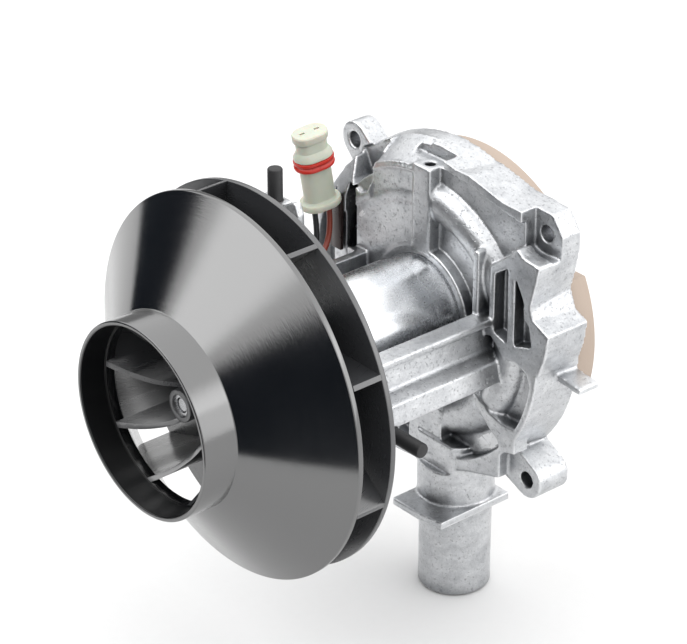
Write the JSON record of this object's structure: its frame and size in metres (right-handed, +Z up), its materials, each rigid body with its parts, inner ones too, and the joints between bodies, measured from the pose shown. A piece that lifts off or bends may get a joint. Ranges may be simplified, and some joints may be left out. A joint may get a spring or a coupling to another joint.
{
  "type": "dc heater blower",
  "caption": "DC blower for an air heater: black radial wheel with intake neck on a can motor, die-cast housing with mounting ears and hose spigot, tan rear disc, sealed plug.",
  "frame": {"origin": "on the motor axis in the housing's rear face, where the insulating disc seats", "axes": "+Y along the motor axis towards the burner, away from the intake; +Z up, away from the hose spigot; +X to the right as seen from the intake side"},
  "size_m": [0.1262, 0.136, 0.1628],
  "materials": {
    "wheel_plastic": "satin black glass-filled nylon with fine turned streaks",
    "spring_steel": "bright spring steel",
    "shaft_steel": "ground steel",
    "can_steel": "bright zinc-plated drawn steel",
    "ring_steel": "bright zinc-plated rolled steel",
    "magnet": "dark ceramic magnet",
    "core_steel": "stamped laminations",
    "winding_copper": "enamelled copper wire",
    "commutator_copper": "turned copper",
    "dark_plastic": "moulded insulating resin",
    "bronze": "oiled sintered bronze",
    "carbon": "carbon brush",
    "brass": "stamped brass",
    "cast_aluminium": "bare die-cast aluminium, lightly mottled",
    "wheel_aluminium": "die-cast aluminium",
    "screw_steel": "zinc-plated steel",
    "pressed_fibre": "tan pressed fibre, smooth",
    "pin_rubber": "black rubber sleeve",
    "connector_nylon": "natural off-white nylon, slightly translucent",
    "seal_rubber": "red silicone",
    "tinned_brass": "tinned brass",
    "bracket_steel": "dark brown lacquered spring steel",
    "black_insulation": "black insulation",
    "red_insulation": "red insulation",
    "grommet_rubber": "black rubber"
  },
  "bodies": {
    "blower": {"motor_can": "can_steel", "flux_ring": "ring_steel", "field_magnets": "magnet", "motor_end_cap": "dark_plastic", "front_bearing": "bronze", "rear_bearing": "bronze", "left_brush_holder": "brass", "right_brush_holder": "brass", "left_brush_spring": "spring_steel", "right_brush_spring": "spring_steel", "blower_housing": "cast_aluminium", "channel_cover": "wheel_aluminium", "cover_screws": "screw_steel", "insulating_disc": "pressed_fibre", "upper_stop_pin": "pin_rubber", "lower_stop_pin": "pin_rubber", "connector_body": "connector_nylon", "connector_seal": "seal_rubber", "connector_terminals": "tinned_brass", "connector_bracket": "bracket_steel", "black_lead": "black_insulation", "red_lead": "red_insulation", "lead_grommet": "grommet_rubber"},
    "rotor": {"wheel_shroud": "wheel_plastic", "wheel_vanes": "wheel_plastic", "hub_clip": "spring_steel", "motor_shaft": "shaft_steel", "armature_core": "core_steel", "armature_windings": "winding_copper", "commutator_bars": "commutator_copper", "commutator_sleeve": "dark_plastic", "combustion_wheel": "wheel_aluminium"},
    "left_brush": {"left_brush": "carbon"},
    "right_brush": {"right_brush": "carbon"}
  },
  "joints": [
    {"name": "rotor_spin", "type": "hinge", "parent": "blower", "child": "rotor", "pos_m": [0, 0, 0], "axis": [0, 1, 0], "continuous": true},
    {"name": "left_brush_slide", "type": "slide", "parent": "blower", "child": "left_brush", "axis": [-1, 0, 0], "range_m": [0, 0.002], "stiffness_N_per_m": 150, "springref_m": -0.004, "deforming": ["left_brush_spring"]},
    {"name": "right_brush_slide", "type": "slide", "parent": "blower", "child": "right_brush", "axis": [1, 0, 0], "range_m": [0, 0.002], "stiffness_N_per_m": 150, "springref_m": -0.004, "deforming": ["right_brush_spring"]}
  ]
}
